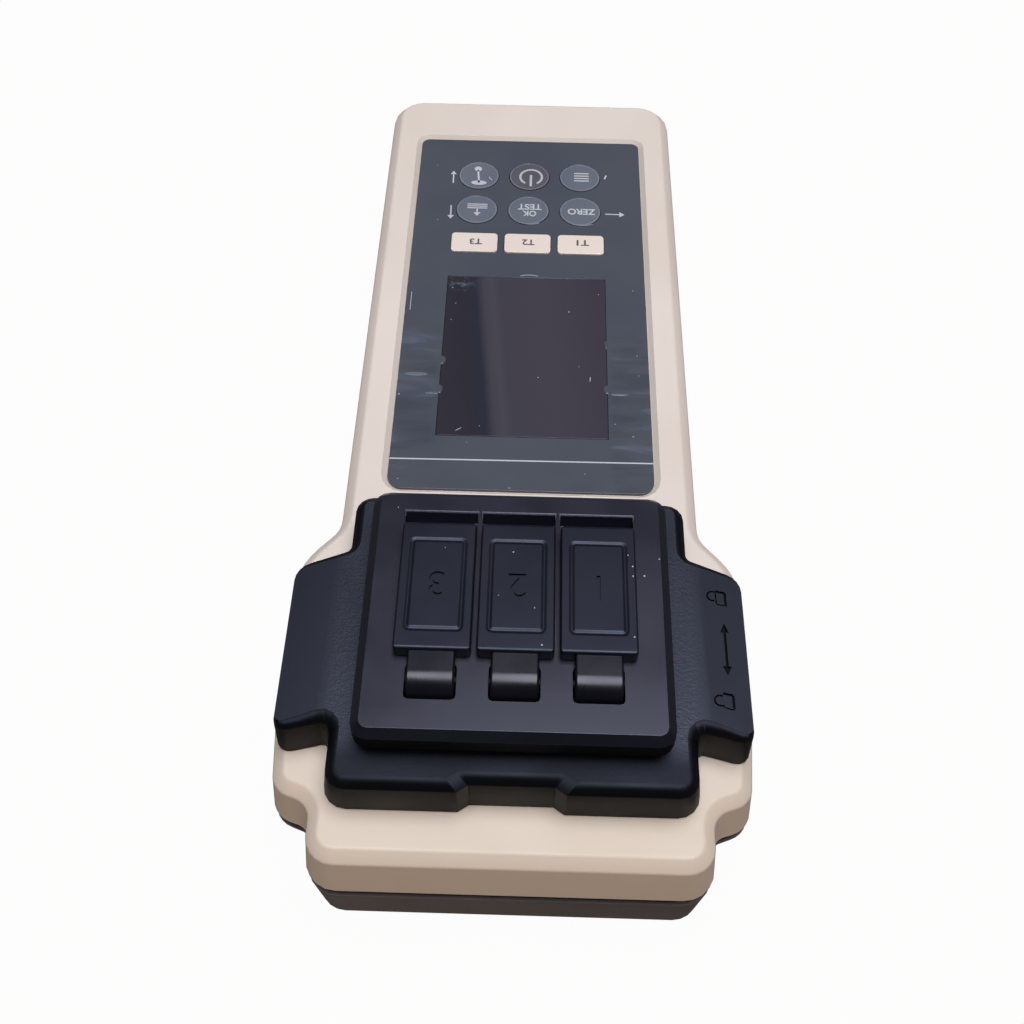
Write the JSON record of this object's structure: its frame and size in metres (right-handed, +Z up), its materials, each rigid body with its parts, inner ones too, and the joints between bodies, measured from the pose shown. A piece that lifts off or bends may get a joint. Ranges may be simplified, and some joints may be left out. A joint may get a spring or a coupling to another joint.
{
  "type": "pool water photometer",
  "caption": "Hand-held water photometer: cream handle with display and keypad, wide head with a sliding black cuvette module under hinged numbered lids.",
  "frame": {"origin": "middle of the housing's outline, on the flat underside that it rests on", "axes": "+Y from the measuring head towards the keypad end, +Z up through the lids, +X to the side of lid 1"},
  "size_m": [0.0944, 0.2146, 0.057],
  "materials": {
    "cream_abs": "satin moulded ABS, fine spark texture",
    "dark_abs": "matt moulded ABS",
    "black_abs": "satin moulded ABS, spark texture on the rim",
    "seal_rubber": "matt",
    "slate_foil": "glossy printed film",
    "display_glass": "high gloss",
    "slate_key": "glossy domed film over a cap",
    "cream_key": "satin",
    "key_rubber": "matt silicone",
    "circuit_board": "solder mask",
    "inner_black": "matt",
    "ribbon_grey": "matt",
    "spring_steel": "plain",
    "cell_wrap": "printed sleeve",
    "clear_acrylic": "polished clear acrylic",
    "led_epoxy": "clear epoxy"
  },
  "bodies": {
    "housing": {"lower_shell": "dark_abs", "upper_shell": "cream_abs", "shell_seal": "seal_rubber", "housing_screw_1": "spring_steel", "housing_screw_2": "spring_steel", "housing_screw_3": "spring_steel", "housing_screw_4": "spring_steel", "housing_screw_5": "spring_steel", "housing_screw_6": "spring_steel", "panel_foil": "slate_foil", "display_window": "display_glass", "display_module": "inner_black", "key_mat": "key_rubber", "main_board": "circuit_board", "buzzer": "inner_black", "optical_tub": "black_abs", "led_1": "led_epoxy", "led_2": "led_epoxy", "led_3": "led_epoxy", "photodiode_1": "inner_black", "photodiode_2": "inner_black", "photodiode_3": "inner_black", "led_board": "circuit_board", "sensor_board": "circuit_board", "ribbon_cable": "ribbon_grey", "battery_1": "cell_wrap", "battery_2": "cell_wrap", "battery_3": "cell_wrap", "contact_near": "spring_steel", "contact_far": "spring_steel", "battery_cover": "dark_abs", "battery_cover_seal": "seal_rubber", "cover_screw_1": "spring_steel", "cover_screw_2": "spring_steel"},
    "module": {"module_body": "black_abs", "lid_plate": "black_abs", "hinge_rod": "spring_steel", "cuvette_1": "clear_acrylic", "cuvette_2": "clear_acrylic", "cuvette_3": "clear_acrylic"},
    "lid_1": {"lid_1": "black_abs", "lid_seal_1": "seal_rubber"},
    "lid_2": {"lid_2": "black_abs", "lid_seal_2": "seal_rubber"},
    "lid_3": {"lid_3": "black_abs", "lid_seal_3": "seal_rubber"},
    "key_near_left": {"key_near_left": "slate_key"},
    "key_near_middle": {"key_near_middle": "slate_key"},
    "key_near_right": {"key_near_right": "slate_key"},
    "key_far_left": {"key_far_left": "slate_key"},
    "key_far_middle": {"key_far_middle": "slate_key"},
    "key_far_right": {"key_far_right": "slate_key"},
    "key_t3": {"key_t3": "cream_key"},
    "key_t2": {"key_t2": "cream_key"},
    "key_t1": {"key_t1": "cream_key"}
  },
  "joints": [
    {"name": "module_slide", "type": "slide", "parent": "housing", "child": "module", "axis": [0, 1, 0], "range_m": [0, 0.006]},
    {"name": "lid_1_hinge", "type": "hinge", "parent": "module", "child": "lid_1", "pos_m": [0.01465, -0.0809, 0.0523], "axis": [1, 0, 0], "range_deg": [0, 95]},
    {"name": "lid_2_hinge", "type": "hinge", "parent": "module", "child": "lid_2", "pos_m": [0, -0.0809, 0.0523], "axis": [1, 0, 0], "range_deg": [0, 95]},
    {"name": "lid_3_hinge", "type": "hinge", "parent": "module", "child": "lid_3", "pos_m": [-0.01465, -0.0809, 0.0523], "axis": [1, 0, 0], "range_deg": [0, 95]},
    {"name": "key_near_left_press", "type": "slide", "parent": "housing", "child": "key_near_left", "axis": [0, 0, 1], "range_m": [-0.0004, 0], "stiffness_N_per_m": 1000, "springref_m": 0.001},
    {"name": "key_near_middle_press", "type": "slide", "parent": "housing", "child": "key_near_middle", "axis": [0, 0, 1], "range_m": [-0.0004, 0], "stiffness_N_per_m": 1000, "springref_m": 0.001},
    {"name": "key_near_right_press", "type": "slide", "parent": "housing", "child": "key_near_right", "axis": [0, 0, 1], "range_m": [-0.0004, 0], "stiffness_N_per_m": 1000, "springref_m": 0.001},
    {"name": "key_far_left_press", "type": "slide", "parent": "housing", "child": "key_far_left", "axis": [0, 0, 1], "range_m": [-0.0004, 0], "stiffness_N_per_m": 1000, "springref_m": 0.001},
    {"name": "key_far_middle_press", "type": "slide", "parent": "housing", "child": "key_far_middle", "axis": [0, 0, 1], "range_m": [-0.0004, 0], "stiffness_N_per_m": 1000, "springref_m": 0.001},
    {"name": "key_far_right_press", "type": "slide", "parent": "housing", "child": "key_far_right", "axis": [0, 0, 1], "range_m": [-0.0004, 0], "stiffness_N_per_m": 1000, "springref_m": 0.001},
    {"name": "key_t3_press", "type": "slide", "parent": "housing", "child": "key_t3", "axis": [0, 0, 1], "range_m": [-0.0004, 0], "stiffness_N_per_m": 1000, "springref_m": 0.001},
    {"name": "key_t2_press", "type": "slide", "parent": "housing", "child": "key_t2", "axis": [0, 0, 1], "range_m": [-0.0004, 0], "stiffness_N_per_m": 1000, "springref_m": 0.001},
    {"name": "key_t1_press", "type": "slide", "parent": "housing", "child": "key_t1", "axis": [0, 0, 1], "range_m": [-0.0004, 0], "stiffness_N_per_m": 1000, "springref_m": 0.001}
  ]
}
